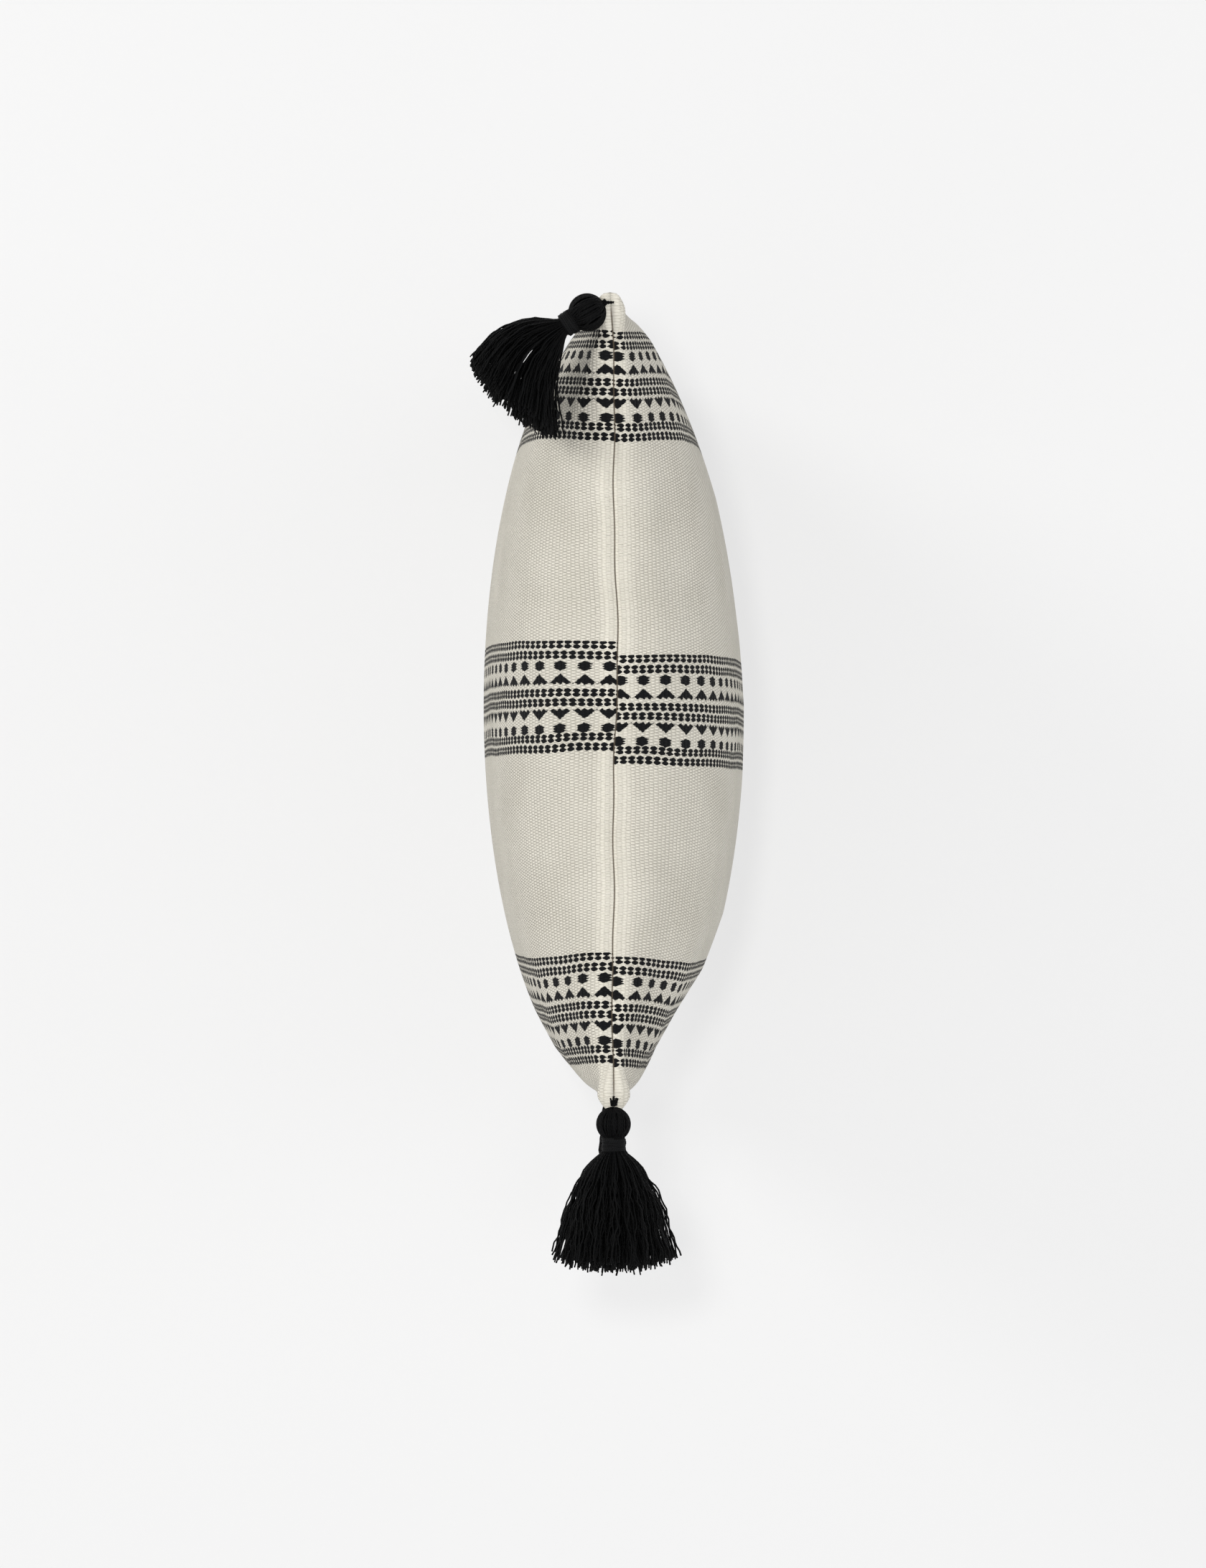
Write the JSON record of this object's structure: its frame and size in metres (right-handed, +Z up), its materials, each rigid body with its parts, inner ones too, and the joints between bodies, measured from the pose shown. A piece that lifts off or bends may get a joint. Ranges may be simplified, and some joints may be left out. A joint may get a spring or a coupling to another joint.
{
  "type": "throw pillow",
  "caption": "Square stuffed throw pillow in woven cotton with dark woven bands, knife-edge seams, a zip in the bottom edge and a yarn tassel hanging from each corner.",
  "frame": {"origin": "middle of the small flat on the back panel, where the pillow leans on a back rest", "axes": "+Z up, from the zipped bottom edge to the top edge; +Y out of the back panel, so the front panel faces -Y; +X to the right as seen from the front"},
  "size_m": [0.5525, 0.1786, 0.5733],
  "materials": {
    "woven_cotton": "matte",
    "sewing_thread": "matte",
    "casing_cloth": "matte",
    "polyester_fibre": "matte",
    "label_satin": "satin",
    "zip_tape": "matte",
    "zip_coil": "satin",
    "zip_metal": "satin",
    "black_yarn": "matte"
  },
  "bodies": {
    "cover": {"front_panel": "woven_cotton", "back_panel": "woven_cotton", "cover_seam_thread": "sewing_thread", "zip_end_seam_thread": "sewing_thread", "insert_casing_front": "casing_cloth", "insert_casing_back": "casing_cloth", "insert_seam_thread": "sewing_thread", "insert_fill": "polyester_fibre", "care_label": "label_satin", "zipper_tape_front": "zip_tape", "zipper_tape_back": "zip_tape", "zipper_tape_thread": "sewing_thread", "zipper_coil_front": "zip_coil", "zipper_coil_back": "zip_coil", "zipper_top_stops": "zip_metal", "zipper_bottom_stop": "zip_metal"},
    "slider": {"zipper_slider": "zip_metal"},
    "pull": {"zipper_pull": "zip_metal"},
    "top_left_loop": {"top_left_tassel_loop": "black_yarn"},
    "top_left_tassel": {"top_left_tassel_yarn": "black_yarn", "top_left_tassel_binding": "black_yarn"},
    "top_right_loop": {"top_right_tassel_loop": "black_yarn"},
    "top_right_tassel": {"top_right_tassel_yarn": "black_yarn", "top_right_tassel_binding": "black_yarn"},
    "bottom_left_loop": {"bottom_left_tassel_loop": "black_yarn"},
    "bottom_left_tassel": {"bottom_left_tassel_yarn": "black_yarn", "bottom_left_tassel_binding": "black_yarn"},
    "bottom_right_loop": {"bottom_right_tassel_loop": "black_yarn"},
    "bottom_right_tassel": {"bottom_right_tassel_yarn": "black_yarn", "bottom_right_tassel_binding": "black_yarn"}
  },
  "joints": [
    {"name": "zip_slide", "type": "hinge", "parent": "cover", "child": "slider", "pos_m": [0, -0.082, -2.34489], "axis": [0, 1, 0], "range_deg": [0, 9.86]},
    {"name": "pull_swing", "type": "hinge", "parent": "slider", "child": "pull", "pos_m": [-0.18185, -0.082, -0.23864], "axis": [0, 1, 0], "range_deg": [-85, 85]},
    {"name": "top_left_loop_swing", "type": "hinge", "parent": "cover", "child": "top_left_loop", "pos_m": [-0.242, -0.082, 0.2415], "axis": [1, 0, 0], "range_deg": [-75, 75]},
    {"name": "top_left_tassel_sway", "type": "hinge", "parent": "top_left_loop", "child": "top_left_tassel", "pos_m": [-0.2535, -0.082, 0.238], "axis": [0, 1, 0], "range_deg": [0, 60]},
    {"name": "top_right_loop_swing", "type": "hinge", "parent": "cover", "child": "top_right_loop", "pos_m": [0.2432, -0.082, 0.2375], "axis": [1, 0, 0], "range_deg": [-110, 0]},
    {"name": "top_right_tassel_sway", "type": "hinge", "parent": "top_right_loop", "child": "top_right_tassel", "pos_m": [0.2425, -0.0875, 0.2375], "axis": [0, 1, 0], "range_deg": [-60, 15]},
    {"name": "bottom_left_loop_swing", "type": "hinge", "parent": "cover", "child": "bottom_left_loop", "pos_m": [-0.2436, -0.082, -0.2348], "axis": [1, 0, 0], "range_deg": [-75, 75]},
    {"name": "bottom_left_tassel_sway", "type": "hinge", "parent": "bottom_left_loop", "child": "bottom_left_tassel", "pos_m": [-0.248, -0.082, -0.2391], "axis": [0, 1, 0], "range_deg": [-20, 60]},
    {"name": "bottom_right_loop_swing", "type": "hinge", "parent": "cover", "child": "bottom_right_loop", "pos_m": [0.2436, -0.082, -0.2348], "axis": [1, 0, 0], "range_deg": [-75, 75]},
    {"name": "bottom_right_tassel_sway", "type": "hinge", "parent": "bottom_right_loop", "child": "bottom_right_tassel", "pos_m": [0.248, -0.082, -0.2391], "axis": [0, 1, 0], "range_deg": [-60, 20]}
  ]
}
